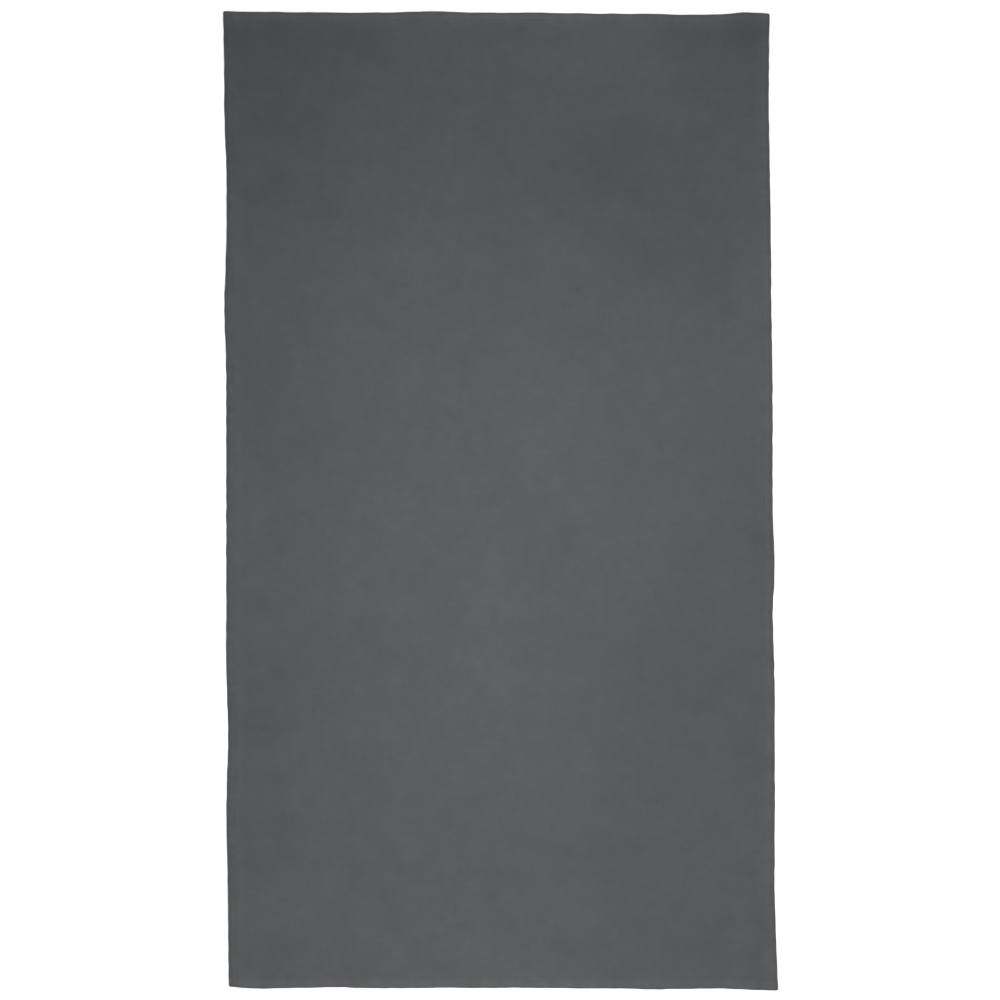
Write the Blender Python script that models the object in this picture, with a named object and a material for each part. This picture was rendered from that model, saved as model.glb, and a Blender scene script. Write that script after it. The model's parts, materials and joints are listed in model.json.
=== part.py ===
"""Quick dry towel, laid out flat with its right side up.

The towel is one panel of thin microfibre cloth. Each of its four borders is turned under twice
into a hem, and each hem is held by one row of lockstitch: a needle thread on the face and a
bobbin thread underneath. The side hems are sewn first and the end hems are folded over them, so
the corners are two storeys high. +X is the towel's right, +Y its top end, and Z = 0 is the
surface that it lies on.
"""
import math

import bmesh
import bpy

# Driving dimensions, in metres
WIDTH = 1.004           # finished width, side edge to side edge
LENGTH = 1.792          # finished length, end edge to end edge
CLOTH = 0.0007          # thickness of the cloth
HEM = 0.015             # finished width of the turned hem
TUCK = 0.012            # raw border that is tucked back inside the hem
STITCH_INSET = 0.013    # distance of the stitching from the finished edge
THREAD = 0.0003         # thickness of the sewing thread
RAMP = 0.014            # distance over which the panel comes down from a hem to the table

# Clearances between pieces that touch, in metres
GAP = 0.0003            # between the panel and the hem
PLY_GAP = 0.0002        # between the two plies of one hem
THREAD_GAP = 0.0002     # between a thread and the cloth, or the thread that it crosses

# Sizes that follow from those
HEM_STACK = 2 * CLOTH + PLY_GAP                     # a hem's two plies
HEM_LIFT = THREAD + THREAD_GAP                      # a hem stands on its bobbin thread
STOREY = HEM_LIFT + HEM_STACK + GAP                 # what one hem lifts the cloth above it by
EDGE_ROUND = 0.001                                  # rounding of the folded outer edge
THREAD_END = 0.0015                                 # a row of stitching stops this far from an edge
HOP_FLAT = 0.0008                                   # half the length of a thread's hop over another
HOP_FOOT = 0.0018                                   # half the length of that hop with its slopes

RAMP_STEPS = 4
FOLD_STEPS = 4
THREAD_SIDES = 6

# How far the laid edges wander from the true rectangle, in metres, at places along the towel.
# (place along Y, left edge's shift along +X, right edge's shift along +X)
SIDE_WANDER = [
    (-LENGTH / 2, 0.0050, 0.0088),
    (-0.81, 0.0040, 0.0065),
    (-0.72, 0.0034, 0.0034),
    (-0.58, 0.0006, 0.0034),
    (-0.53, 0.0016, 0.0038),
    (-0.44, 0.0034, 0.0034),
    (-0.30, 0.0001, 0.0029),
    (-0.21, 0.0006, -0.0001),
    (-0.12, 0.0003, 0.0034),
    (-0.03, 0.0003, 0.0001),
    (0.11, 0.0001, -0.0003),
    (0.25, -0.0003, -0.0010),
    (0.36, -0.0031, -0.0025),
    (0.43, -0.0006, -0.0032),
    (0.52, 0.0014, -0.0040),
    (0.62, -0.0001, -0.0056),
    (0.71, -0.0032, -0.0074),
    (0.80, -0.0036, -0.0073),
    (LENGTH / 2, -0.0052, -0.0066),
]
# (place along X, bottom edge's shift along +Y, top edge's shift along +Y)
END_WANDER = [
    (-WIDTH / 2, 0.0028, 0.0011),
    (-0.466, -0.0006, 0.0011),
    (-0.42, -0.0011, 0.0006),
    (-0.37, 0.0009, 0.0001),
    (-0.21, -0.0006, -0.0002),
    (-0.11, 0.0003, 0.0014),
    (-0.02, 0.0004, -0.0002),
    (0.09, -0.0005, -0.0004),
    (0.17, -0.0009, -0.0018),
    (0.30, -0.0020, -0.0036),
    (0.38, -0.0009, -0.0042),
    (0.43, -0.0019, -0.0029),
    (0.46, -0.0029, -0.0005),
    (WIDTH / 2, -0.0039, -0.0028),
]
LOW, HIGH = 1, 2        # the tables' columns: the edge at the low and at the high coordinate

# The laid towel's middle, so that its box can be centred on the origin
MIDDLE_X = (min(knot[LOW] for knot in SIDE_WANDER) + max(knot[HIGH] for knot in SIDE_WANDER)) / 2
MIDDLE_Y = (min(knot[LOW] for knot in END_WANDER) + max(knot[HIGH] for knot in END_WANDER)) / 2

SIDES = ("left", "right")
ENDS = ("bottom_end", "top_end")

CHARCOAL = (0.089, 0.094, 0.098, 1.0)
CHARCOAL_HEM = (0.098, 0.103, 0.107, 1.0)
THREAD_GREY = (0.075, 0.079, 0.083, 1.0)


def clear_scene():
    for old in list(bpy.data.objects):
        bpy.data.objects.remove(old, do_unlink=True)


def make_material(name, colour, roughness):
    material = bpy.data.materials.new(name)
    material.use_nodes = True
    shader = material.node_tree.nodes["Principled BSDF"]
    shader.inputs["Base Color"].default_value = colour
    shader.inputs["Roughness"].default_value = roughness
    shader.inputs["Metallic"].default_value = 0.0
    material.diffuse_color = colour
    return material


def wander(knots, place, column):
    """Shift of an edge at a place along it: a smooth curve through the knots."""
    last = len(knots) - 1
    start = 0
    while start < last - 1 and place > knots[start + 1][0]:
        start += 1

    def slope(index):
        before = knots[max(index - 1, 0)]
        after = knots[min(index + 1, last)]
        return (after[column] - before[column]) / (after[0] - before[0])

    low, high = knots[start], knots[start + 1]
    span = high[0] - low[0]
    u = (place - low[0]) / span
    return (
        low[column] * (1 + 2 * u) * (1 - u) ** 2
        + high[column] * u * u * (3 - 2 * u)
        + slope(start) * span * u * (1 - u) ** 2
        - slope(start + 1) * span * u * u * (1 - u)
    )


def lay(s, t, height):
    """Move a point of the true rectangle to where it lies, between its wandering edges."""
    across = s / WIDTH + 0.5
    along = t / LENGTH + 0.5
    shift_x = (1 - across) * wander(SIDE_WANDER, t, LOW) + across * wander(SIDE_WANDER, t, HIGH)
    shift_y = (1 - along) * wander(END_WANDER, s, LOW) + along * wander(END_WANDER, s, HIGH)
    return (s + shift_x - MIDDLE_X, t + shift_y - MIDDLE_Y, height)


def rise(inset):
    """1 over a hem, easing to 0 where the cloth is down on the table."""
    u = min(max((inset - HEM) / RAMP, 0.0), 1.0)
    return 1 - u * u * (3 - 2 * u)


def underside(s, t):
    """Height of the panel's underside: one storey over a hem, two in a corner."""
    return STOREY * (rise(WIDTH / 2 - abs(s)) + rise(LENGTH / 2 - abs(t)))


def stations(length, knots, first):
    """Places across the whole cloth: each corner's own lines, and the outline's knots between."""
    corner = [first] + [HEM + RAMP * step / RAMP_STEPS for step in range(RAMP_STEPS + 1)]
    low = [inset - length / 2 for inset in corner]
    high = [length / 2 - inset for inset in reversed(corner)]
    return low + [knot[0] for knot in knots[1:-1]] + high


def edge_stations(edge, first):
    if edge in SIDES:
        return stations(LENGTH, SIDE_WANDER, first)
    return stations(WIDTH, END_WANDER, first)


def from_edge(edge, inset, place):
    """Rectangle coordinates of a point, from its distance in from one edge and its place along."""
    if edge == "left":
        return inset - WIDTH / 2, place
    if edge == "right":
        return WIDTH / 2 - inset, place
    if edge == "bottom_end":
        return place, inset - LENGTH / 2
    return place, LENGTH / 2 - inset


def hem_level(edge, place):
    """A side hem climbs over the end hems in the corners; an end hem lies on the table."""
    if edge in SIDES:
        return STOREY * rise(LENGTH / 2 - abs(place))
    return 0.0


def add_solid(name, mesh_builder, origin, material, parent):
    """Make an object from a bmesh, with its own origin and smooth shading."""
    bmesh.ops.recalc_face_normals(mesh_builder, faces=mesh_builder.faces)
    bmesh.ops.translate(mesh_builder, vec=[-part for part in origin], verts=mesh_builder.verts)
    mesh = bpy.data.meshes.new(name)
    mesh_builder.to_mesh(mesh)
    mesh_builder.free()
    mesh.materials.append(material)
    mesh.shade_smooth()
    mesh.set_sharp_from_angle(angle=math.radians(40))
    solid = bpy.data.objects.new(name, mesh)
    solid.location = origin
    solid.parent = parent
    bpy.context.scene.collection.objects.link(solid)
    return solid


def bridge(builder, ring, following):
    """Quads between two closed rings of vertices."""
    for index in range(len(ring)):
        after = (index + 1) % len(ring)
        builder.faces.new((ring[index], ring[after], following[after], following[index]))


def loft(rings):
    """A closed solid through rings of points, capped at both ends."""
    builder = bmesh.new()
    loops = [[builder.verts.new(point) for point in ring] for ring in rings]
    for loop, following in zip(loops, loops[1:]):
        bridge(builder, loop, following)
    builder.faces.new(loops[0])
    builder.faces.new(loops[-1])
    return builder


def grid_border(columns, rows):
    """Grid indices once round the border, anticlockwise from the low corner."""
    return (
        [(i, 0) for i in range(columns - 1)]
        + [(columns - 1, j) for j in range(rows - 1)]
        + [(i, rows - 1) for i in range(columns - 1, 0, -1)]
        + [(0, j) for j in range(rows - 1, 0, -1)]
    )


def build_panel(material, parent):
    """The main cloth: flat in the middle, raised over the hems, folded down at the outer edge."""
    builder = bmesh.new()

    def layer(first, height):
        """A grid of rectangle coordinates and heights that starts a distance in from the edges."""
        across = stations(WIDTH, END_WANDER, first)
        along = stations(LENGTH, SIDE_WANDER, first)
        return [[(s, t, height(s, t)) for t in along] for s in across]

    def sheet(grid):
        """A layer's vertices, joined by quads."""
        verts = [[builder.verts.new(lay(*point)) for point in column] for column in grid]
        for left, right in zip(verts, verts[1:]):
            for j in range(len(left) - 1):
                builder.faces.new((left[j], right[j], right[j + 1], left[j + 1]))
        return verts

    def face(s, t):
        return underside(s, t) + CLOTH

    top = sheet(layer(EDGE_ROUND, face))
    bottom = sheet(layer(CLOTH, underside))
    border = grid_border(len(top), len(top[0]))

    # The outer edge, from the face round and down to the table, and back up inside the fold
    edge_profile = [
        (0.3 * EDGE_ROUND, lambda s, t: face(s, t) - 0.3 * EDGE_ROUND),
        (0.0, lambda s, t: face(s, t) - EDGE_ROUND),
        (0.0, lambda s, t: 0.5 * EDGE_ROUND),
        (0.2 * EDGE_ROUND, lambda s, t: 0.0),
        (CLOTH, lambda s, t: 0.0),
    ]
    loops = [[top[i][j] for i, j in border]]
    for inset, height in edge_profile:
        grid = layer(inset, height)
        loops.append([builder.verts.new(lay(*grid[i][j])) for i, j in border])
    loops.append([bottom[i][j] for i, j in border])
    for loop, following in zip(loops, loops[1:]):
        bridge(builder, loop, following)
    return add_solid("towel_panel", builder, (0.0, 0.0, 0.0), material, parent)


def hairpin():
    """Section of a hem as (inset, height): lower ply, fold at the inner side, tucked upper ply."""
    outer = HEM_STACK / 2
    inner = PLY_GAP / 2
    fold_centre = HEM - outer

    def arc(radius, turn):
        return (fold_centre + radius * math.sin(turn), outer - radius * math.cos(turn))

    turns = [math.pi * step / FOLD_STEPS for step in range(FOLD_STEPS + 1)]
    section = [(CLOTH + GAP, 0.0)]
    section += [arc(outer, turn) for turn in turns]
    section += [(HEM - TUCK, HEM_STACK), (HEM - TUCK, CLOTH + PLY_GAP)]
    section += [arc(inner, turn) for turn in reversed(turns[::2])]
    section += [(CLOTH + GAP, CLOTH)]
    return section


def build_hem(edge, material, parent):
    """The border that is turned under, along one edge."""
    rings = []
    for place in edge_stations(edge, CLOTH + GAP):
        level = hem_level(edge, place) + HEM_LIFT
        rings.append([
            lay(*from_edge(edge, inset, place), level + height) for inset, height in hairpin()
        ])
    origin = lay(*from_edge(edge, HEM / 2, 0.0), 0.0)
    return add_solid("hem_" + edge, loft(rings), origin, material, parent)


def thread_tube(edge, path):
    """A round thread along a path of (place along the edge, height of its centre line)."""
    rings = []
    for place, height in path:
        ring = []
        for side in range(THREAD_SIDES):
            turn = 2 * math.pi * side / THREAD_SIDES
            inset = STITCH_INSET + THREAD / 2 * math.cos(turn)
            ring.append(lay(*from_edge(edge, inset, place), height + THREAD / 2 * math.sin(turn)))
        rings.append(ring)
    return loft(rings)


def build_needle_thread(edge, material, parent):
    """The row of stitching on the face. An end's row hops over the side rows that it crosses."""
    places = edge_stations(edge, THREAD_END)
    crossing = WIDTH / 2 - STITCH_INSET
    if edge in ENDS:
        for away in (-HOP_FOOT, -HOP_FLAT, HOP_FLAT, HOP_FOOT):
            places += [crossing + away, -crossing - away]
        places.sort()
    path = []
    for place in places:
        height = underside(*from_edge(edge, STITCH_INSET, place)) + CLOTH + THREAD_GAP + THREAD / 2
        if edge in ENDS and abs(abs(place) - crossing) < (HOP_FLAT + HOP_FOOT) / 2:
            height += THREAD + THREAD_GAP
        path.append((place, height))
    origin = lay(*from_edge(edge, STITCH_INSET, 0.0), 0.0)
    return add_solid("needle_thread_" + edge, thread_tube(edge, path), origin, material, parent)


def build_bobbin_thread(edge, material, parent):
    """The row of stitching on the back, under its hem."""
    path = [
        (place, hem_level(edge, place) + THREAD / 2) for place in edge_stations(edge, THREAD_END)
    ]
    origin = lay(*from_edge(edge, STITCH_INSET, 0.0), 0.0)
    return add_solid("bobbin_thread_" + edge, thread_tube(edge, path), origin, material, parent)


def build_towel():
    clear_scene()
    towel = bpy.data.objects.new("towel", None)
    bpy.context.scene.collection.objects.link(towel)

    build_panel(make_material("microfibre_face", CHARCOAL, 0.9), towel)
    hem_cloth = make_material("microfibre_hem", CHARCOAL_HEM, 0.9)
    needle = make_material("needle_thread", THREAD_GREY, 0.6)
    bobbin = make_material("bobbin_thread", THREAD_GREY, 0.65)
    for edge in SIDES + ENDS:
        build_hem(edge, hem_cloth, towel)
        build_needle_thread(edge, needle, towel)
        build_bobbin_thread(edge, bobbin, towel)


build_towel()
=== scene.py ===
import json
import math

import bmesh
import bpy
import numpy as np
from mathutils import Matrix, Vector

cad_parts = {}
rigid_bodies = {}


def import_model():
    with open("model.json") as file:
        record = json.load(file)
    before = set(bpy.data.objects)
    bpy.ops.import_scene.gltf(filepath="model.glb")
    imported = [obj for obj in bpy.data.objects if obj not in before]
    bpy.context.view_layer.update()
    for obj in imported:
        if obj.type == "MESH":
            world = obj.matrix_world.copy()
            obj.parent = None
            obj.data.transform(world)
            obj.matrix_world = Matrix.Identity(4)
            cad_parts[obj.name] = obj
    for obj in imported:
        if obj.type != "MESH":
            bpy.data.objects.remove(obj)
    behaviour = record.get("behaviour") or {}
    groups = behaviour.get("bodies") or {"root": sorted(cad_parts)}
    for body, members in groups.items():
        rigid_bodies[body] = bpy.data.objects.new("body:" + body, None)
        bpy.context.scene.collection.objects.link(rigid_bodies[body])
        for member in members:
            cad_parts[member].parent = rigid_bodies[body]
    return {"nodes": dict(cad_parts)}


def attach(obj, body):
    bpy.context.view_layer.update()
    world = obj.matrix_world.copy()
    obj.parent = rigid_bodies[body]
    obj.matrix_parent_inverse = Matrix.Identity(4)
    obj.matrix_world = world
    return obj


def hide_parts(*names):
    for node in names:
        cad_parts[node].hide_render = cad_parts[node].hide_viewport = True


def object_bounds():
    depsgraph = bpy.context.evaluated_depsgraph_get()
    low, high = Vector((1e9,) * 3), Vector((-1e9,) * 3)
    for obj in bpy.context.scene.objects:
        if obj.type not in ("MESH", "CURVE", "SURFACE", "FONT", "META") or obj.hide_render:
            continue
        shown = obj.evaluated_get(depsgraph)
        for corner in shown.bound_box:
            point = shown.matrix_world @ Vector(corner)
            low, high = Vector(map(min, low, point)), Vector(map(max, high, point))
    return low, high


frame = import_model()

cad_low, cad_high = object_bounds()

EDGES = ("left", "right", "bottom_end", "top_end")
SIDES = ("left", "right")

# ------------------------------------------------------------------ sizes, as the CAD has them

WIDTH = 1.004                   # finished width
LENGTH = 1.792                  # finished length
CLOTH = 0.0007                  # thickness of the cloth
HEM = 0.015                     # finished width of the hems
TUCK = 0.012                    # raw border that is tucked back inside a hem
STITCH_INSET = 0.013            # from the finished edge to the stitching
THREAD = 0.0003                 # thickness of the sewing thread
RAMP = 0.014                    # over which the cloth comes down from a hem
GAP = 0.0003                    # between the panel and a hem
PLY_GAP = 0.0002                # between a hem's two plies
THREAD_GAP = 0.0002             # between a thread and what it lies on
HEM_STACK = 2 * CLOTH + PLY_GAP
HEM_LIFT = THREAD + THREAD_GAP
STOREY = HEM_LIFT + HEM_STACK + GAP     # what a hem lifts the cloth above it by
EDGE_ROUND = 0.001              # rounding of the CAD's outer edge
THREAD_END = 0.0015             # a row of stitching stops this far from an edge
SLACK = 0.000001                # for comparing places that are meant to be the same
LIP_TOLERANCE = 0.00003         # how exactly a vertex of the CAD's lip lies at the lip's height
END_STRIP = 0.0125              # the lip belongs to an end edge this near to the end of the box

# ------------------------------------------------------------------ sizes of the finer shapes

STITCH_LENGTH = 0.0038
STITCH_RISE = 0.7 * THREAD      # the middle of the needle thread over the face, between two holes
HOLE_DEPTH = THREAD + THREAD_GAP        # how far a thread goes into the cloth at a hole
HOLE_SHARPNESS = 6              # how abruptly it does so
DIMPLE = 0.0002                 # how deep a stitch pulls the cloth in at its holes
DIMPLE_REACH = 0.0008
GROOVE = 0.00018                # how deep the whole row sinks into the cloth
GROOVE_REACH = 0.0016
GATHER = 0.00065                # height of the small gathers along a row of stitching
GATHER_OUTSIDE = 0.0045         # how far they reach towards the edge
GATHER_INSIDE = 0.010           # and towards the middle
GATHER_SLANT = 0.35             # how much they lean along the row
GATHER_LEAST = 0.35             # their height where they are weakest, of the full height
EDGE_RADIUS = 0.0015            # rounding of the folded edge, seen from its end
EDGE_TURNS = (60, 30, 0)        # its rows, in degrees: 90 is up on the face, 0 is out on the wall
LIP_RADIUS = 0.0004             # rounding of the cloth's edge where it meets the floor
LIP_MIDDLE = 0.3                # how far in and up the middle of that rounding is, of its radius
CORNER_RADIUS = 0.0025          # rounding of a corner, seen from above
SWELL = 0.0026                  # height of the broad, low waves in the cloth
EDGE_LIFT = 0.0034              # height that an edge stands off the floor at most
EDGE_LIFT_REACH = 0.07
EDGE_FRET = 0.00018             # how far the outline wanders between its broad waves
EDGE_FRET_REACH = 0.03
THREAD_WOBBLE = 0.00012         # how far a row of stitching strays from its line
STITCH_SLANT = 0.00018          # how far a stitch leans off that line at its two ends
HOP_RISE = 1.5 * THREAD + THREAD_GAP    # the middle of an end's thread over the face, at a crossing
HOP_FLAT = 0.0005               # half the length of its hop over the other thread
HOP_SLOPE = 0.0012
CORNER_LIFTS = {(-1, -1): 0.0016, (1, -1): 0.0030, (-1, 1): 0.0010, (1, 1): 0.0022}
CORNER_LIFT_REACH = 0.055

BORDER_ROWS = (EDGE_RADIUS, 0.0035, 0.006, 0.0085, 0.0106, 0.012, STITCH_INSET, 0.014, 0.0155,
               0.018, 0.021, 0.025, 0.030)      # distances in from an edge of the fine rows
BORDER = BORDER_ROWS[-1]
RAMP_ROWS = [HEM + RAMP * part for part in (0.25, 0.5, 0.75, 1.0)]
SEAM_OF_GRIDS = 0.006           # between the fine border and the plainer middle
MIDDLE_STEP = 0.0085
UNDERSIDE_STEP = 0.014
HEM_STEP = 0.007
FOLD_STEPS = 8
NEEDLE_SIDES = 6
NEEDLE_PARTS = (0, 0.12, 0.26, 0.5, 0.74, 0.88)     # places along a stitch, from hole to hole
BOBBIN_SIDES = 5
BOBBIN_PARTS = (0, 0.15, 0.5, 0.85)

# ------------------------------------------------------------------ random waves

# Each as a seed, how many waves, and the shortest and longest of them. Where every edge has waves
# of its own, their seeds follow on from the one given.
BROAD_WAVES = (3, 18, 0.14, 0.55)               # in the cloth as a whole
OUTLINE_WAVES = (11, 12, 0.028, 0.12)           # in the outline, between its broad waves
RIPPLE_WAVES = (21, 9, 0.12, 0.42)              # where an edge stands off the floor
GATHER_WAVES = (31, 22, 0.008, 0.034)           # the gathers along a row of stitching
STRENGTH_WAVES = (41, 8, 0.05, 0.3)             # where those are strong
HEM_PAINTED_LIGHT_WAVES = (51, 16, 0.014, 0.07)              # painted light and shade along a hem, for the light on its puckers

# A row's needle thread and bobbin thread stray from their line together, so they share a seed
STRAY_WAVES = (12, 0.008, 0.06)
STRAY_SEEDS = {"left": 16, "right": 17, "bottom_end": 22, "top_end": 19}

# Between which strengths of its waves an effect goes from nothing to full
SWELL_RANGE = (-1.5, 1.7)
RIPPLE_RANGE = (0.1, 2.3)
STRENGTH_RANGE = (-1.2, 1.2)
GATHER_CLIP = 1.6               # the gathers' own waves are cut off at this strength, up and down


def ease(u):
    """0 below 0, 1 above 1, and a smooth step between."""
    u = np.clip(u, 0.0, 1.0)
    return u * u * (3 - 2 * u)


def ease_between(value, low, high):
    """The same step, from low to high."""
    return ease((value - low) / (high - low))


def swell(seed, count, shortest, longest):
    """A smooth random field of unit strength, made of plane waves between two wavelengths."""
    draw = np.random.default_rng(seed)
    turns = draw.uniform(0, math.pi, count)
    numbers = 2 * math.pi / np.exp(draw.uniform(math.log(shortest), math.log(longest), count))
    phases = draw.uniform(0, 2 * math.pi, count)

    def field(s, t=0.0):
        total = np.zeros(np.shape(s + t))
        for turn, number, phase in zip(turns, numbers, phases):
            total += np.sin(number * (s * math.cos(turn) + t * math.sin(turn)) + phase)
        return total / math.sqrt(count / 2)

    return field


def line_waves(seed, count, shortest, longest):
    """The same along one line."""
    draw = np.random.default_rng(seed)
    numbers = 2 * math.pi / np.exp(draw.uniform(math.log(shortest), math.log(longest), count))
    phases = draw.uniform(0, 2 * math.pi, count)

    def field(place):
        total = np.zeros(np.shape(place))
        for number, phase in zip(numbers, phases):
            total += np.sin(number * place + phase)
        return total / math.sqrt(count / 2)

    return field


def edge_waves(first_seed, count, shortest, longest):
    """Such a line of waves for every edge."""
    return {
        edge: line_waves(seed, count, shortest, longest)
        for seed, edge in enumerate(EDGES, first_seed)
    }


# ------------------------------------------------------------------ where the cloth lies


def smooth_curve(knots):
    """A smooth curve through knots, rows of (place along an edge, position across it)."""
    places, positions = knots[:, 0], knots[:, 1]
    slopes = np.gradient(positions, places)

    def at(place):
        place = np.clip(place, places[0], places[-1])
        start = np.clip(np.searchsorted(places, place) - 1, 0, len(places) - 2)
        span = places[start + 1] - places[start]
        u = (place - places[start]) / span
        return (
            positions[start] * (1 + 2 * u) * (1 - u) ** 2
            + positions[start + 1] * u * u * (3 - 2 * u)
            + slopes[start] * span * u * (1 - u) ** 2
            - slopes[start + 1] * span * u * u * (1 - u)
        )

    return at


def cad_outline():
    """The four finished edges of the CAD's panel, each as a smooth curve."""
    points = np.array([vertex.co for vertex in frame["nodes"]["towel_panel"].data.vertices])
    lip = points[np.abs(points[:, 2] - EDGE_ROUND / 2) < LIP_TOLERANCE]
    lip = np.unique(np.round(lip[:, :2], 6), axis=0)
    at_an_end = np.abs(lip[:, 1]) > cad_high.y - END_STRIP
    bottom = lip[at_an_end & (lip[:, 1] < 0)]
    top = lip[at_an_end & (lip[:, 1] > 0)]
    curves = {"bottom_end": smooth_curve(bottom), "top_end": smooth_curve(top)}
    for side, corner, where in (("left", 0, lip[:, 0] < 0), ("right", -1, lip[:, 0] > 0)):
        along = np.vstack([bottom[corner], lip[~at_an_end & where], top[corner]])[:, ::-1]
        curves[side] = smooth_curve(along[np.argsort(along[:, 0])])
    return curves


OUTLINE = cad_outline()
MIDDLE_X = float(OUTLINE["left"](0.0) + OUTLINE["right"](0.0)) / 2
MIDDLE_Y = float(OUTLINE["bottom_end"](0.0) + OUTLINE["top_end"](0.0)) / 2
FRET = edge_waves(*OUTLINE_WAVES)


def edge_place(edge, s, t):
    """How far in from an edge a point of the true rectangle is, and its place along the edge."""
    if edge == "left":
        return WIDTH / 2 + s, t
    if edge == "right":
        return WIDTH / 2 - s, t
    if edge == "bottom_end":
        return LENGTH / 2 + t, s
    return LENGTH / 2 - t, s


def from_edge(edge, inset, place):
    """The way back: coordinates in the true rectangle."""
    if edge == "left":
        return inset - WIDTH / 2 + 0 * place, place + 0 * inset
    if edge == "right":
        return WIDTH / 2 - inset + 0 * place, place + 0 * inset
    if edge == "bottom_end":
        return place + 0 * inset, inset - LENGTH / 2 + 0 * place
    return place + 0 * inset, LENGTH / 2 - inset + 0 * place


def lay(s, t):
    """Where a point of the true rectangle lies, between the towel's wandering edges."""
    across = s / WIDTH + 0.5
    along = t / LENGTH + 0.5
    x = (1 - across) * OUTLINE["left"](t + MIDDLE_Y) + across * OUTLINE["right"](t + MIDDLE_Y)
    y = (1 - along) * OUTLINE["bottom_end"](s + MIDDLE_X) + along * OUTLINE["top_end"](s + MIDDLE_X)
    for edge in EDGES:
        inset, place = edge_place(edge, s, t)
        fret = EDGE_FRET * FRET[edge](place) * np.exp(-np.maximum(inset, 0) / EDGE_FRET_REACH)
        if edge in SIDES:
            x = x + fret
        else:
            y = y + fret
    return x, y


def round_corners(s, t):
    """Pulls the four corner points in, on to a small arc."""
    a = np.clip((CORNER_RADIUS - (WIDTH / 2 - np.abs(s))) / CORNER_RADIUS, 0, 1)
    b = np.clip((CORNER_RADIUS - (LENGTH / 2 - np.abs(t))) / CORNER_RADIUS, 0, 1)
    length = np.hypot(a, b)
    scale = np.where(length > 0, np.maximum(a, b) / np.maximum(length, 1e-9), 1.0)
    inside_s = WIDTH / 2 - CORNER_RADIUS + CORNER_RADIUS * a * scale
    inside_t = LENGTH / 2 - CORNER_RADIUS + CORNER_RADIUS * b * scale
    corner = (a > 0) & (b > 0)
    return (np.where(corner, np.sign(s) * inside_s, s), np.where(corner, np.sign(t) * inside_t, t))


# ------------------------------------------------------------------ heights

BROAD = swell(*BROAD_WAVES)
RIPPLES = edge_waves(*RIPPLE_WAVES)
GATHERS = edge_waves(*GATHER_WAVES)
GATHER_STRENGTH = edge_waves(*STRENGTH_WAVES)


def rise(inset):
    """1 over a hem, easing to 0 where the cloth is down on the floor."""
    return 1 - ease((inset - HEM) / RAMP)


def lift(s, t):
    """How far the cloth stands off the floor: low waves, rippled edges and four lazy corners."""
    height = SWELL * ease_between(BROAD(s, t), *SWELL_RANGE)
    for edge in EDGES:
        inset, place = edge_place(edge, s, t)
        wave = ease_between(RIPPLES[edge](place), *RIPPLE_RANGE)
        height = height + EDGE_LIFT * wave * np.exp(-(inset / EDGE_LIFT_REACH) ** 2)
    for (side, end), amount in CORNER_LIFTS.items():
        reach = np.hypot(s - side * WIDTH / 2, t - end * LENGTH / 2) / CORNER_LIFT_REACH
        height = height + amount * np.exp(-reach ** 2)
    return height


def underside(s, t):
    """The panel's underside: a storey up over a hem, two in a corner."""
    return lift(s, t) + STOREY * (rise(WIDTH / 2 - np.abs(s)) + rise(LENGTH / 2 - np.abs(t)))


def edge_half(edge):
    """Half the length of an edge."""
    return (LENGTH if edge in SIDES else WIDTH) / 2


def stitch_length(edge):
    """A stitch's length, fitted so that whole stitches lie between the corners."""
    run = edge_half(edge) - BORDER
    return run / round(run / STITCH_LENGTH)


def seam_relief(edge, s, t):
    """What a row of stitching does to the face: gathers, a groove, and a dimple at each hole."""
    inset, place = edge_place(edge, s, t)
    off = inset - STITCH_INSET
    reach = np.where(off < 0, GATHER_OUTSIDE, GATHER_INSIDE)
    strength = ease_between(GATHER_STRENGTH[edge](place), *STRENGTH_RANGE)
    strength = GATHER_LEAST + (1 - GATHER_LEAST) * strength
    wave = GATHERS[edge](place + GATHER_SLANT * off)
    gather = 0.5 + 0.5 * np.clip(wave / GATHER_CLIP, -1, 1)
    relief = -GATHER * strength * gather * np.exp(-(off / reach) ** 2)
    relief = relief - GROOVE * np.exp(-(off / GROOVE_REACH) ** 2)
    # The mesh has rows at the holes only between the corners, so there are no dimples further out
    between_corners = np.abs(place) < edge_half(edge) - BORDER + SLACK
    hole = 0.5 + 0.5 * np.cos(2 * math.pi * place / stitch_length(edge))
    return relief - DIMPLE * hole * between_corners * np.exp(-(off / DIMPLE_REACH) ** 2)


def face(s, t):
    """The cloth's face."""
    height = underside(s, t) + CLOTH
    for edge in EDGES:
        height = height + seam_relief(edge, s, t)
    return height


def hem_level(edge, s, t):
    """What a hem stands on: a side hem climbs over the end hems in the corners."""
    if edge in SIDES:
        return STOREY * rise(LENGTH / 2 - np.abs(t))
    return 0.0 * t


# ------------------------------------------------------------------ meshes


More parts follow.
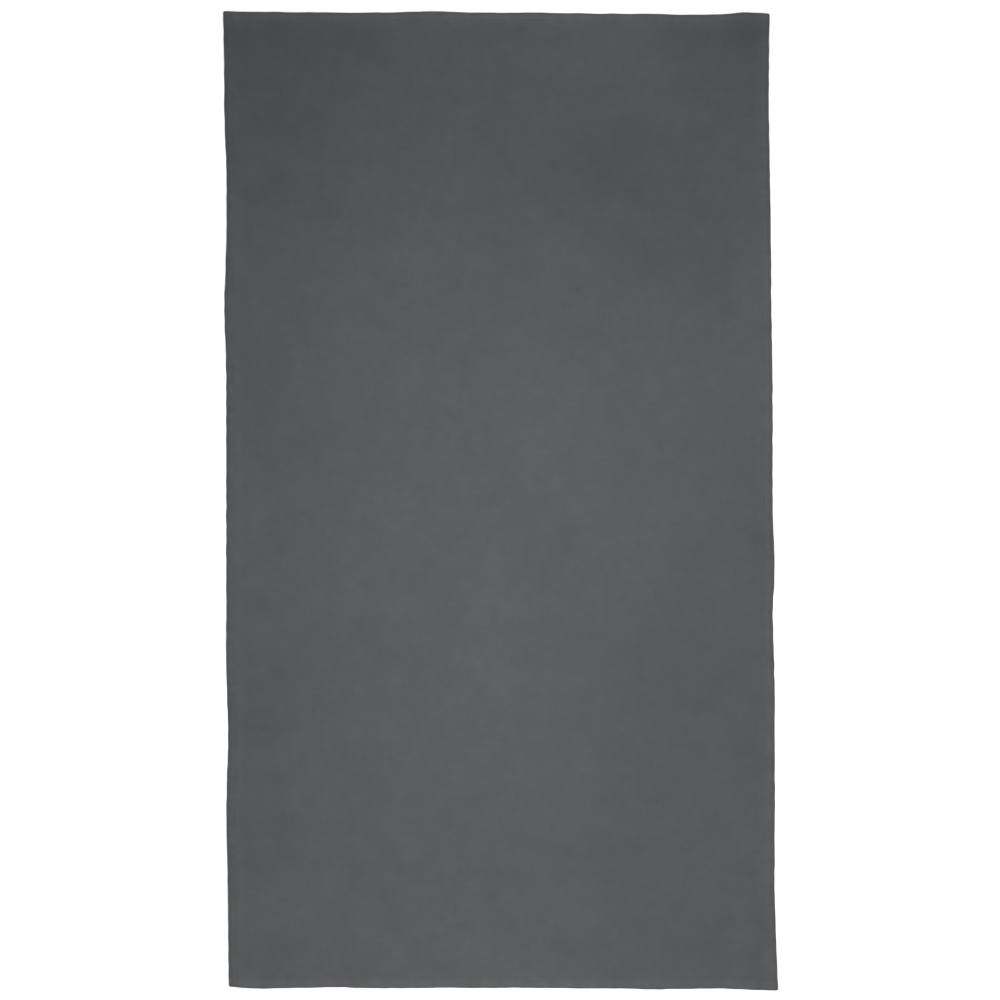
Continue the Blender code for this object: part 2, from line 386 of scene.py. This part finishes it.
class Mesh:
    """Vertices by their place in the true rectangle, and the faces between them."""

    def __init__(self):
        self.places = []
        self.heights = []
        self.faces = []
        self.count = 0

    def add(self, s, t, height):
        """Adds points, with a height or a rule for it. Returns their indices."""
        s, t = np.asarray(s, float), np.asarray(t, float)
        z = height(s, t) if callable(height) else height
        self.places.append(np.stack([s.ravel(), t.ravel()], 1))
        self.heights.append(np.broadcast_to(z, s.shape).ravel())
        indices = self.count + np.arange(s.size).reshape(s.shape)
        self.count += s.size
        return indices

    def grid(self, indices):
        """Quads between the neighbours of a grid of indices, wherever all four are there."""
        corners = [indices[:-1, :-1], indices[1:, :-1], indices[1:, 1:], indices[:-1, 1:]]
        quads = np.stack(corners, -1).reshape(-1, 4)
        self.faces += quads[(quads >= 0).all(1)].tolist()

    def bridge(self, ring, following):
        """Quads between two rings with the same stations."""
        for side, next_side in zip(ring, following):
            self.grid(np.stack([side, next_side]))

    def bridge_uneven(self, ring, following):
        """Triangles between two rings whose stations differ."""
        places = np.concatenate(self.places)
        for side, next_side in zip(ring, following):
            measures = []
            for row in (side, next_side):
                steps = np.linalg.norm(np.diff(places[row], axis=0), axis=1)
                measures.append(np.concatenate([[0], np.cumsum(steps)]) / steps.sum())
            i = j = 0
            past = 2        # the measures run from 0 to 1
            while i < len(side) - 1 or j < len(next_side) - 1:
                middle_i = measures[0][i:i + 2].mean() if i < len(side) - 1 else past
                middle_j = measures[1][j:j + 2].mean() if j < len(next_side) - 1 else past
                if middle_i <= middle_j:
                    self.faces.append((side[i], side[i + 1], next_side[j]))
                    i += 1
                else:
                    self.faces.append((side[i], next_side[j + 1], next_side[j]))
                    j += 1

    def make(self, name, material):
        """The finished object, laid out, with its faces outward."""
        places = np.concatenate(self.places)
        rounded = round_corners(places[:, 0], places[:, 1])
        x, y = lay(*rounded)
        points = np.stack([x, y, np.concatenate(self.heights)], 1)
        mesh = bpy.data.meshes.new(name)
        mesh.from_pydata(points.tolist(), [], [tuple(int(i) for i in one) for one in self.faces])
        builder = bmesh.new()
        builder.from_mesh(mesh)
        bmesh.ops.recalc_face_normals(builder, faces=builder.faces)
        builder.to_mesh(mesh)
        builder.free()
        mesh.shade_smooth()
        # The tone attribute carries painted light and shade, with the hems' flattened pile
        shade = mesh.attributes.new("tone", "FLOAT", "POINT")
        shade.data.foreach_set("value", tone(places[:, 0], places[:, 1]).astype(np.float32))
        mesh.materials.append(material)
        piece = bpy.data.objects.new(name, mesh)
        bpy.context.scene.collection.objects.link(piece)
        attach(piece, "root")
        return piece


def border_of(indices):
    """The border of a grid of indices as four sides, once round, each with both its corners."""
    return [indices[:, 0], indices[-1, :], indices[::-1, -1], indices[0, ::-1]]


def lattice(mesh, lines_s, lines_t, height, keep=None):
    """A grid of points on lines across the rectangle, all of it or only where keep says."""
    s, t = np.meshgrid(lines_s, lines_t, indexing="ij")
    if keep is None:
        keep = np.ones(s.shape, bool)
    indices = np.full(s.shape, -1)
    indices[keep] = mesh.add(s[keep], t[keep], height)
    return indices


def ring(mesh, lines_s, lines_t, inset, height):
    """One loop round the rectangle at a distance in from its edges."""
    lines_s, lines_t = lines_s.copy(), lines_t.copy()
    lines_s[[0, -1]] = inset - WIDTH / 2, WIDTH / 2 - inset
    lines_t[[0, -1]] = inset - LENGTH / 2, LENGTH / 2 - inset
    keep = np.zeros((len(lines_s), len(lines_t)), bool)
    keep[[0, -1], :] = True
    keep[:, [0, -1]] = True
    return border_of(lattice(mesh, lines_s, lines_t, height, keep))


def lines(half, rows, step):
    """Lines across the towel: rows near both edges, and even steps between the innermost two."""
    rows = np.array(rows)
    inner = half - rows[-1]
    even = np.linspace(-inner, inner, 2 * round(inner / step) + 1)
    return np.concatenate([rows - half, even[1:-1], half - rows[::-1]])


def build_panel(material):
    """The main sheet: face, folded outer edge, and underside."""
    mesh = Mesh()
    rows = len(BORDER_ROWS)
    fine_s = lines(WIDTH / 2, BORDER_ROWS, stitch_length("top_end") / 2)
    fine_t = lines(LENGTH / 2, BORDER_ROWS, stitch_length("left") / 2)
    near_s = (np.arange(len(fine_s)) < rows) | (np.arange(len(fine_s)) >= len(fine_s) - rows)
    near_t = (np.arange(len(fine_t)) < rows) | (np.arange(len(fine_t)) >= len(fine_t) - rows)
    border = lattice(mesh, fine_s, fine_t, face, near_s[:, None] | near_t[None, :])
    mesh.grid(border)

    inner = BORDER + SEAM_OF_GRIDS
    middle_s = lines(WIDTH / 2, [inner], MIDDLE_STEP)
    middle_t = lines(LENGTH / 2, [inner], MIDDLE_STEP)
    middle = lattice(mesh, middle_s, middle_t, face)
    mesh.grid(middle)
    inside = slice(rows - 1, len(fine_s) - rows + 1), slice(rows - 1, len(fine_t) - rows + 1)
    mesh.bridge_uneven(border_of(border[inside]), border_of(middle))

    def edge_ring(turn):
        """A row of the folded edge's rounding."""
        drop = EDGE_RADIUS * (1 - math.sin(turn))
        inset = EDGE_RADIUS * (1 - math.cos(turn))
        return ring(mesh, fine_s, fine_t, inset, lambda s, t: face(s, t) - drop)

    def lip_ring(inset, height):
        """A row of the rounding at the floor."""
        return ring(mesh, fine_s, fine_t, inset, lambda s, t: lift(s, t) + height)

    outer = [border_of(border)]
    outer += [edge_ring(math.radians(turn)) for turn in EDGE_TURNS]
    outer.append(lip_ring(0.0, LIP_RADIUS))
    outer.append(lip_ring(LIP_MIDDLE * LIP_RADIUS, LIP_MIDDLE * LIP_RADIUS))
    outer.append(lip_ring(LIP_RADIUS, 0.0))
    for one, following in zip(outer, outer[1:]):
        mesh.bridge(one, following)

    rows = [CLOTH, CORNER_RADIUS, HEM / 2, HEM] + RAMP_ROWS
    plain_s = lines(WIDTH / 2, rows, UNDERSIDE_STEP)
    plain_t = lines(LENGTH / 2, rows, UNDERSIDE_STEP)
    below = lattice(mesh, plain_s, plain_t, underside)
    mesh.grid(below)
    inner_lip = ring(mesh, plain_s, plain_t, CLOTH, lift)
    mesh.bridge_uneven(outer[-1], inner_lip)
    mesh.bridge(inner_lip, border_of(below))
    return mesh.make("cloth_panel", material)


def loft(mesh, rings):
    """A closed tube through a grid of indices, whose rows are its rings, capped at both ends."""
    mesh.grid(np.hstack([rings, rings[:, :1]]))
    mesh.faces += [rings[0].tolist(), rings[-1][::-1].tolist()]


def hairpin():
    """A hem's section as (inset, height): the lower ply, the fold, and the ply tucked back over it."""
    outer = HEM_STACK / 2
    inner = PLY_GAP / 2
    turns = np.linspace(0, math.pi, FOLD_STEPS + 1)

    def arc(radius, turns):
        """Round the fold's own middle, from the lower ply to the upper one."""
        insets = HEM - outer + radius * np.sin(turns)
        heights = outer - radius * np.cos(turns)
        return list(zip(insets, heights))

    section = [(CLOTH + GAP, 0.0), (HEM / 2, 0.0)] + arc(outer, turns)
    section += [(HEM / 2, HEM_STACK), (HEM - TUCK, HEM_STACK), (HEM - TUCK, CLOTH + PLY_GAP)]
    section += arc(inner, turns[::-2]) + [(CLOTH + GAP, CLOTH)]
    return section


def build_hem(edge, material):
    """The border of the cloth that is turned under."""
    half = edge_half(edge)
    rows = [CLOTH + GAP, HEM / 2, HEM] + RAMP_ROWS
    places = lines(half, rows, HEM_STEP)
    mesh = Mesh()
    columns = []
    for inset, height in hairpin():
        s, t = from_edge(edge, inset, places)
        base = lift(s, t) + hem_level(edge, s, t)
        columns.append(mesh.add(s, t, base + HEM_LIFT + height))
    loft(mesh, np.stack(columns, 1))
    return mesh.make("turned_hem_" + edge, material)


def in_hole(edge, places):
    """1 where the thread is down a hole, falling off quickly to 0 along the stitch."""
    return (0.5 + 0.5 * np.cos(2 * math.pi * places / stitch_length(edge))) ** HOLE_SHARPNESS


def thread_row(name, edge, material, sides, parts, height):
    """A row of stitches as one continuous thread, which leans a little in every stitch."""
    half = edge_half(edge) - THREAD_END
    length = stitch_length(edge)
    count = int(half / length)
    parts = np.array(parts)
    places = ((np.arange(-count, count)[:, None] + parts) * length).ravel()
    places = np.concatenate([[-half], places, [count * length, half]])
    lean = np.where(parts > 0, 2 * parts - 1, 0) * STITCH_SLANT
    lean = np.concatenate([[0], np.tile(lean, 2 * count), [0, 0]])
    stray = lean + THREAD_WOBBLE * line_waves(STRAY_SEEDS[edge], *STRAY_WAVES)(places)
    centres = height(places)
    turns = np.arange(sides) * 2 * math.pi / sides
    mesh = Mesh()
    columns = []
    for turn in turns:
        s, t = from_edge(edge, STITCH_INSET + stray + THREAD / 2 * math.cos(turn), places)
        columns.append(mesh.add(s, t, centres + THREAD / 2 * math.sin(turn)))
    loft(mesh, np.stack(columns, 1))
    return mesh.make(name, material)


def build_needle_row(edge, material):
    """The stitches on the face. An end's row hops over the side rows that it crosses."""
    crossing = WIDTH / 2 - STITCH_INSET

    def height(places):
        s, t = from_edge(edge, STITCH_INSET, places)
        over = STITCH_RISE - HOLE_DEPTH * in_hole(edge, places)
        if edge not in SIDES:
            away = np.abs(np.abs(places) - crossing)
            near = 1 - ease((away - HOP_FLAT) / HOP_SLOPE)
            over = over * (1 - near) + near * HOP_RISE
        return face(s, t) + over

    return thread_row("seam_needle_" + edge, edge, material, NEEDLE_SIDES, NEEDLE_PARTS, height)


def build_bobbin_row(edge, material):
    """The stitches on the back, under the hem."""

    def height(places):
        s, t = from_edge(edge, STITCH_INSET, places)
        base = lift(s, t) + hem_level(edge, s, t)
        return base + THREAD / 2 + HOLE_DEPTH * in_hole(edge, places)

    return thread_row("seam_bobbin_" + edge, edge, material, BOBBIN_SIDES, BOBBIN_PARTS, height)


# ------------------------------------------------------------------ colour and materials

# How the outermost fold and the rest of each hem differ in tone from the open cloth: painted light and
# shade on the folds, by which way each edge faces, and on the hems flattened pile with painted light
BORDER_PAINTED_LIGHT_AND_PILE = {
    "left": (0.90, 1.01),
    "right": (1.00, 1.085),
    "bottom_end": (1.13, 1.13),
    "top_end": (1.12, 1.15),
}
FOLD_WIDTH = 0.0045             # how far in from the edge the fold's tone reaches
FOLD_FADE = 0.004
BAND_WIDTH = 0.012              # and the hem's
BAND_FADE = 0.009
HEM_PAINTED_LIGHT_STRENGTH = 0.022               # strength of the painted light and shade along a hem, for its puckers
HEM_PAINTED_LIGHT = edge_waves(*HEM_PAINTED_LIGHT_WAVES)

# Painted light and shade on the open cloth, soft patches made lighter or darker to follow the uneven
# studio light: place, reach both ways, and strength
PAINTED_LIGHT_PATCHES = [
    (-0.46, 0.82, 0.10, 0.10, -0.12),
    (-0.30, 0.81, 0.07, 0.07, -0.05),
    (-0.12, 0.87, 0.10, 0.05, 0.03),
    (0.14, 0.86, 0.18, 0.07, 0.12),
    (0.27, 0.77, 0.07, 0.05, 0.05),
    (0.487, 0.865, 0.035, 0.035, -0.10),
    (-0.40, 0.68, 0.10, 0.06, -0.08),
    (-0.10, 0.70, 0.14, 0.08, -0.035),
    (0.20, 0.61, 0.12, 0.10, -0.08),
    (-0.42, 0.56, 0.09, 0.06, -0.05),
    (-0.16, 0.46, 0.08, 0.05, 0.04),
    (0.27, 0.44, 0.10, 0.07, -0.06),
    (0.48, 0.42, 0.05, 0.28, 0.09),
    (-0.44, 0.23, 0.07, 0.14, -0.03),
    (0.10, 0.21, 0.22, 0.11, 0.07),
    (0.10, 0.02, 0.09, 0.11, 0.045),
    (-0.18, -0.02, 0.14, 0.08, 0.045),
    (0.47, -0.09, 0.04, 0.04, -0.05),
    (-0.02, -0.18, 0.07, 0.17, 0.04),
    (0.33, -0.34, 0.13, 0.18, -0.08),
    (-0.41, -0.38, 0.11, 0.11, -0.055),
    (0.08, -0.66, 0.20, 0.06, -0.05),
    (0.26, -0.63, 0.12, 0.18, -0.05),
    (-0.40, -0.80, 0.19, 0.12, 0.07),
    (-0.02, -0.87, 0.18, 0.07, 0.08),
    (0.46, -0.82, 0.06, 0.09, 0.035),
]


def tone(s, t):
    """A factor on the cloth's colour: painted light and shade on the folds, along the hems and in soft
    patches of the open cloth, and the hems' flattened pile.
    """
    factor = np.ones(np.shape(s))
    # Painted light and shade: soft patches of the open cloth made lighter or darker
    for x, y, reach_x, reach_y, strength in PAINTED_LIGHT_PATCHES:
        away = ((s - x) / reach_x) ** 2 + ((t - y) / reach_y) ** 2
        factor = factor * (1 + strength * np.exp(-away))
    # The fold's factor is painted light and shade, by which way each edge faces the light; the band's
    # is flattened pile with painted light, different on each edge
    for edge, (fold, band) in BORDER_PAINTED_LIGHT_AND_PILE.items():
        inset, place = edge_place(edge, s, t)
        at_fold = 1 - ease((inset - FOLD_WIDTH) / FOLD_FADE)
        on_band = 1 - ease((inset - BAND_WIDTH) / BAND_FADE)
        # Painted light and shade along each hem, lighter and darker at random, in place of the light
        # on its puckers
        painted_pucker_light = HEM_PAINTED_LIGHT_STRENGTH * HEM_PAINTED_LIGHT[edge](place) * on_band
        pressed_pile_and_painted_light = (band - 1) * on_band * (1 - at_fold)
        factor = factor * (1 + pressed_pile_and_painted_light + (fold - 1) * at_fold + painted_pucker_light)
    return factor


NOISE_OFFSET = (7.31, 11.87, 3.43)      # moves each noise on, so that no two share their lattice


class Nodes:
    """Adds shader nodes to a material, with their inputs set or linked by name or number."""

    def __init__(self, name):
        self.material = bpy.data.materials.new(name)
        self.material.use_nodes = True
        self.tree = self.material.node_tree
        self.shader = self.tree.nodes["Principled BSDF"]
        self.objects = self.add("ShaderNodeTexCoord").outputs["Object"]
        self.noises = 0

    def connect(self, node, inputs):
        """Links or sets a node's inputs."""
        for key, value in inputs.items():
            if isinstance(value, bpy.types.NodeSocket):
                self.tree.links.new(value, node.inputs[key])
            else:
                node.inputs[key].default_value = value

    def add(self, kind, inputs=None, **settings):
        """A new node with its settings and inputs."""
        node = self.tree.nodes.new(kind)
        for key, value in settings.items():
            setattr(node, key, value)
        self.connect(node, inputs or {})
        return node

    def math(self, operation, *values):
        """The result of a named operation on the values."""
        return self.add("ShaderNodeMath", dict(enumerate(values)), operation=operation).outputs[0]

    def noise(self, size, detail=2.0, roughness=0.5, stretch=(1, 1, 1), turn=0.0):
        """Noise whose features are about size across, in metres, before they are stretched."""
        self.noises += 1
        offset = [self.noises * part for part in NOISE_OFFSET]
        scale = [1 / (size * part) for part in stretch]
        place = self.add("ShaderNodeMapping", {
            0: self.objects, "Location": offset, "Rotation": (0, 0, turn), "Scale": scale,
        })
        return self.add("ShaderNodeTexNoise", {
            "Vector": place.outputs[0], "Scale": 1.0, "Detail": detail, "Roughness": roughness,
        }).outputs[0]

    def mix_noises(self, noises):
        """A factor round 1 from pairs of a noise and its strength."""
        total = 1 - sum(strength for _, strength in noises) / 2
        for noise, strength in noises:
            total = self.math("MULTIPLY_ADD", noise, strength, total)
        return total

    def tint(self, colour, factor):
        """A colour made lighter or darker by a factor."""
        inputs = {"Vector": colour, "Scale": factor}
        return self.add("ShaderNodeVectorMath", inputs, operation="SCALE").outputs[0]

    def bump(self, height, distance, strength=1.0, normal=None):
        """A normal tilted by a fine relief, distance high, on top of another normal."""
        inputs = {"Height": height, "Distance": distance, "Strength": strength}
        if normal is not None:
            inputs["Normal"] = normal
        return self.add("ShaderNodeBump", inputs).outputs[0]


CLOTH_ROUGHNESS = 0.80          # at the least
CLOTH_ROUGHNESS_SPREAD = 0.12   # how much more at the most
PILE_HEIGHT = 0.00016           # the depth of the relief that the fibres make
TUFT_RELIEF = 0.8               # how high a tuft stands, of a fibre's height
STREAK_HEIGHT = 0.0003          # the depth of the brush marks
THREAD_ROUGHNESS = 0.5
THREAD_ROUGHNESS_SPREAD = 0.2
THREAD_GRAIN = 0.00008          # the depth of the thread's own relief


def microfibre(name, colour, sheen):
    """Brushed microfibre: a short pile, brushed both ways, that lies lighter here and darker there."""
    nodes = Nodes(name)
    cloudy = nodes.noise(0.16, detail=3, roughness=0.55)
    mottle = nodes.noise(0.045, detail=4, roughness=0.6)
    patches = nodes.noise(0.016, detail=3, roughness=0.6)
    brushed_across = nodes.noise(0.0035, detail=3, roughness=0.6, stretch=(9, 1, 1))
    brushed_along = nodes.noise(0.0035, detail=3, roughness=0.6, stretch=(1, 9, 1))
    pile = nodes.noise(0.0009, detail=4, roughness=0.85)
    tufts = nodes.noise(0.00045, detail=1, stretch=(1, 1.8, 1), turn=0.2)
    fibres = nodes.noise(0.00022, roughness=0.6, stretch=(1, 4, 1), turn=0.5)
    crossed_fibres = nodes.noise(0.00022, roughness=0.6, stretch=(1, 4, 1), turn=-0.7)
    factor = nodes.mix_noises([
        (cloudy, 0.17), (mottle, 0.26), (patches, 0.17),
        (brushed_across, 0.12), (brushed_along, 0.09),
        (pile, 0.18), (tufts, 0.50), (fibres, 0.40), (crossed_fibres, 0.40),
    ])
    # The tone attribute brings in painted light and shade, with the hems' flattened pile
    shade = nodes.add("ShaderNodeAttribute", attribute_name="tone").outputs["Fac"]
    factor = nodes.math("MULTIPLY", factor, shade)
    relief = nodes.math("MULTIPLY_ADD", tufts, TUFT_RELIEF, fibres)
    relief = nodes.math("ADD", crossed_fibres, relief)
    normal = nodes.bump(relief, PILE_HEIGHT, strength=0.9)
    streaks = nodes.math("ADD", brushed_across, brushed_along)
    normal = nodes.bump(streaks, STREAK_HEIGHT, strength=0.6, normal=normal)
    nodes.connect(nodes.shader, {
        "Base Color": nodes.tint(colour, factor),
        "Roughness": nodes.math("MULTIPLY_ADD", mottle, CLOTH_ROUGHNESS_SPREAD, CLOTH_ROUGHNESS),
        "Normal": normal,
        "Specular IOR Level": 0.15,
        "Sheen Weight": sheen,
        "Sheen Roughness": 0.45,
        "Sheen Tint": (0.92, 0.96, 1.0, 1.0),
    })
    return nodes.material


def sewing_thread(name, colour):
    """Spun polyester: a little uneven, with a dull gloss."""
    nodes = Nodes(name)
    spun = nodes.noise(0.0004, detail=1, turn=0.6)
    dye = nodes.noise(0.03)
    factor = nodes.mix_noises([(spun, 0.5), (dye, 0.15)])
    nodes.connect(nodes.shader, {
        "Base Color": nodes.tint(colour, factor),
        "Roughness": nodes.math("MULTIPLY_ADD", spun, THREAD_ROUGHNESS_SPREAD, THREAD_ROUGHNESS),
        "Normal": nodes.bump(spun, THREAD_GRAIN),
        "Specular IOR Level": 0.35,
        "Sheen Weight": 0.15,
    })
    return nodes.material


CLOTH_SHEEN = 0.12
CHARCOAL = (0.0756, 0.0777, 0.0815)
CHARCOAL_UNDER = (0.0793, 0.0814, 0.0855)
THREAD_GREY = (0.088, 0.091, 0.096)

cloth = microfibre("microfibre_face_look", CHARCOAL, CLOTH_SHEEN)
cloth_under = microfibre("microfibre_hem_look", CHARCOAL_UNDER, CLOTH_SHEEN)
needle_thread = sewing_thread("needle_thread_look", THREAD_GREY)
bobbin_thread = sewing_thread("bobbin_thread_look", THREAD_GREY)

# ------------------------------------------------------------------ the towel

panel = build_panel(cloth)
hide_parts("towel_panel")
sewn_on = []
for edge in EDGES:
    hem = build_hem(edge, cloth_under)
    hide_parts("hem_" + edge)
    needle_row = build_needle_row(edge, needle_thread)
    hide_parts("needle_thread_" + edge)
    bobbin_row = build_bobbin_row(edge, bobbin_thread)
    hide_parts("bobbin_thread_" + edge)
    sewn_on += [hem, needle_row, bobbin_row]

# ------------------------------------------------------------------ floor, light and camera

FLOOR_BELOW = 0.0002            # the floor lies just under the towel's lowest points
FLOOR_REACH = 9.0               # flat this far, then swept up into a wall
SWEEP_RADIUS = 4.0
WALL_HEIGHT = 7.0
FLOOR_SEGMENTS = 96
SWEEP_TURNS = range(0, 91, 10)  # the sweep's rows, in degrees
FLOOR_WHITE = (0.95, 0.95, 0.95, 1.0)
FLOOR_GLOW = 0.48


def build_floor():
    """A plain pale floor that sweeps up into a wall all round, as in a photographer's cove."""
    turns = np.radians(SWEEP_TURNS)
    profile = [(0.0, 0.0), (FLOOR_REACH / 2, 0.0)]
    profile += [
        (FLOOR_REACH + SWEEP_RADIUS * math.sin(turn), SWEEP_RADIUS * (1 - math.cos(turn)))
        for turn in turns
    ]
    profile.append((FLOOR_REACH + SWEEP_RADIUS, WALL_HEIGHT))
    builder = bmesh.new()
    points = [builder.verts.new((reach, 0.0, height)) for reach, height in profile]
    outline = [builder.edges.new(pair) for pair in zip(points, points[1:])]
    bmesh.ops.spin(
        builder, geom=points + outline, cent=(0, 0, 0), axis=(0, 0, 1),
        angle=2 * math.pi, steps=FLOOR_SEGMENTS, use_merge=True,
    )
    bmesh.ops.remove_doubles(builder, verts=builder.verts, dist=0.001)
    bmesh.ops.recalc_face_normals(builder, faces=builder.faces)
    mesh = bpy.data.meshes.new("floor")
    builder.to_mesh(mesh)
    builder.free()
    mesh.shade_smooth()
    floor = bpy.data.objects.new("floor", mesh)
    floor.location.z = -FLOOR_BELOW
    bpy.context.scene.collection.objects.link(floor)
    paint = bpy.data.materials.new("floor_paint")
    paint.use_nodes = True
    shader = paint.node_tree.nodes["Principled BSDF"]
    shader.inputs["Base Color"].default_value = FLOOR_WHITE
    shader.inputs["Roughness"].default_value = 0.9
    shader.inputs["Specular IOR Level"].default_value = 0.1
    shader.inputs["Emission Color"].default_value = (1.0, 1.0, 1.0, 1.0)
    shader.inputs["Emission Strength"].default_value = FLOOR_GLOW
    mesh.materials.append(paint)


build_floor()

SKY = 0.371

room = bpy.data.worlds.new("studio")
room.use_nodes = True
background = room.node_tree.nodes["Background"]
background.inputs["Color"].default_value = (1.0, 1.0, 1.0, 1.0)
background.inputs["Strength"].default_value = SKY
bpy.context.scene.world = room

SOFT_BOX_SIZE = (0.3, 2.0)
SOFT_BOX_PLACE = (0.05, -0.30, 1.2)
SOFT_BOX_WATTS = 16.4

soft_box_data = bpy.data.lights.new("soft_box", "AREA")
soft_box_data.shape = "RECTANGLE"
soft_box_data.size, soft_box_data.size_y = SOFT_BOX_SIZE
soft_box_data.energy = SOFT_BOX_WATTS
soft_box = bpy.data.objects.new("soft_box", soft_box_data)
soft_box.location = SOFT_BOX_PLACE
soft_box.visible_camera = False
bpy.context.scene.collection.objects.link(soft_box)

LENS = 85.0
SENSOR = 36.0
VIEW_WIDTH = 1.8376             # what the picture shows across, at the towel's height
TOWEL_MIDDLE = (cad_low + cad_high) / 2
CAMERA_SHIFT = (-0.0008, 0.0016)

camera_data = bpy.data.cameras.new("camera")
camera_data.lens = LENS
camera_data.sensor_width = SENSOR
camera = bpy.data.objects.new("camera", camera_data)
camera.location = (
    TOWEL_MIDDLE.x + CAMERA_SHIFT[0],
    TOWEL_MIDDLE.y + CAMERA_SHIFT[1],
    VIEW_WIDTH * LENS / SENSOR,
)
bpy.context.scene.collection.objects.link(camera)
bpy.context.scene.camera = camera
bpy.context.scene.view_settings.view_transform = "Standard"

bpy.context.view_layer.update()
